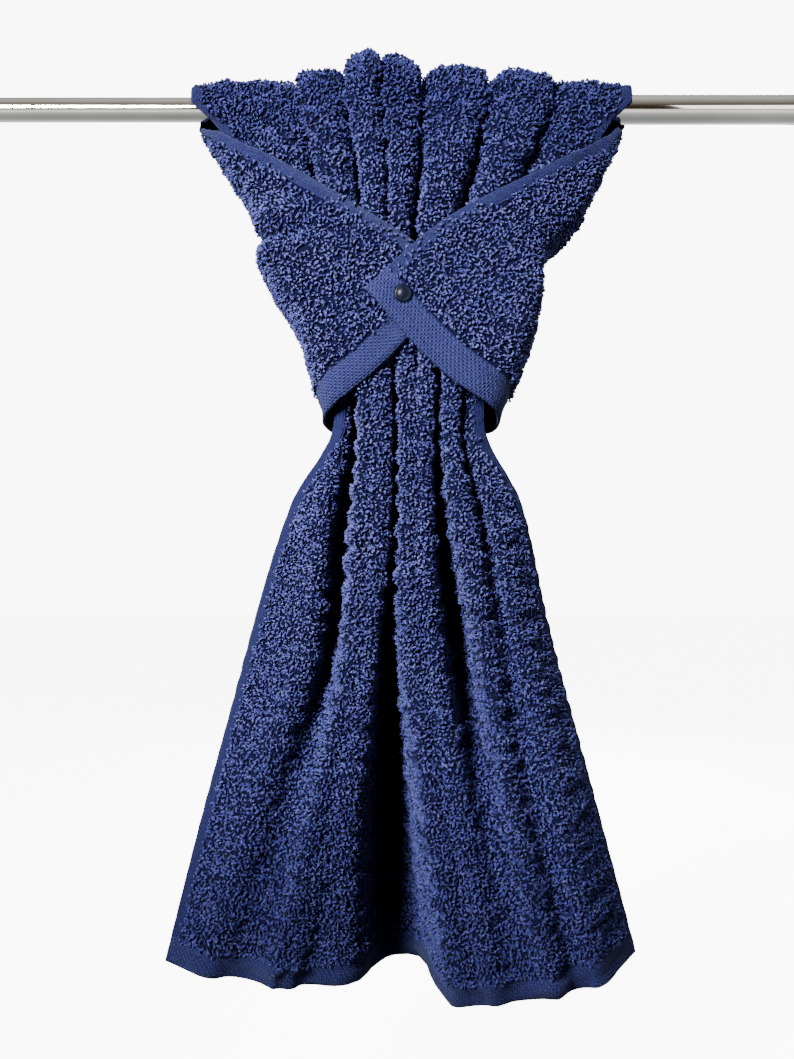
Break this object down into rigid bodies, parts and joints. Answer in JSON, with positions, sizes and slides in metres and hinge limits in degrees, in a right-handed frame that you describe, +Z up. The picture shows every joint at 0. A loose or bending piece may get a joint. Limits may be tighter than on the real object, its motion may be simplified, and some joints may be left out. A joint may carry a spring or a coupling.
{
  "type": "hand towel on a towel rail",
  "caption": "Navy terry hand towel draped over a chrome rail, pleated, its back corners brought round the front, crossed and held by a popper to form a waist.",
  "frame": {"origin": "on the rail's axis, half way along the rail", "axes": "+X along the rail to the viewer's right, +Y away from the viewer towards the wall, +Z up"},
  "size_m": [0.66, 0.1346, 0.6559],
  "materials": {
    "terry": "looped cotton pile with flat woven hems",
    "rail_metal": "polished",
    "popper_plastic": "glossy"
  },
  "bodies": {
    "root": {"towel": "terry", "rail_thin": "rail_metal", "rail_thick": "rail_metal", "popper_cap": "popper_plastic"}
  },
  "joints": []
}
